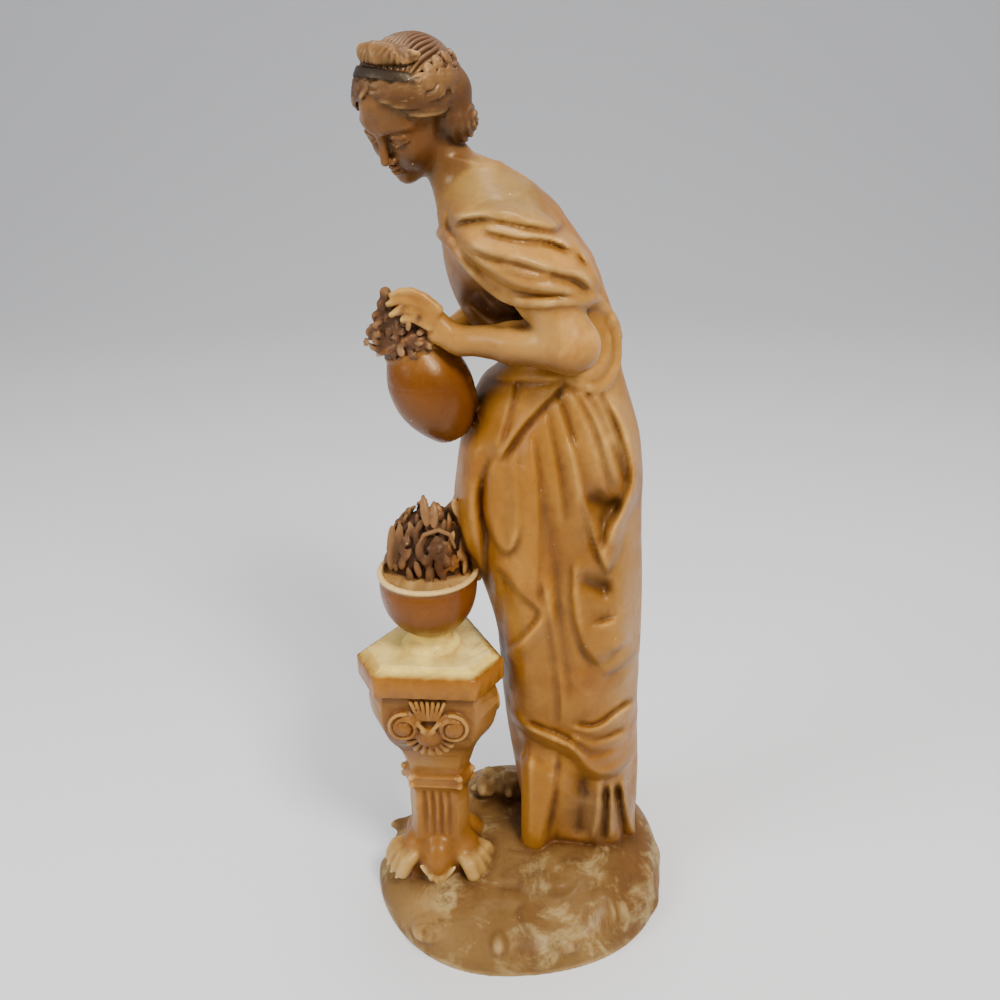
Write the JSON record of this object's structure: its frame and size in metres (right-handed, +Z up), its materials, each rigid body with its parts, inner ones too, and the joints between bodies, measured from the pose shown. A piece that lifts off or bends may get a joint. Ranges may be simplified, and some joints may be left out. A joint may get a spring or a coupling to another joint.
{
  "type": "chalkware girl figurine",
  "caption": "Cast chalkware figure of a girl in draped dress, bending to a bowl of flowers on a tripod stand, on an oval mound plinth.",
  "frame": {"origin": "centre of the plinth's outline on its flat underside", "axes": "+Z up, -Y towards the side it is shown from, the girl faces -X"},
  "size_m": [0.1551, 0.1448, 0.4229],
  "materials": {
    "cast": "honey and brown patina on cast plaster, satin varnish"
  },
  "bodies": {
    "root": {"figurine": "cast"}
  },
  "joints": []
}
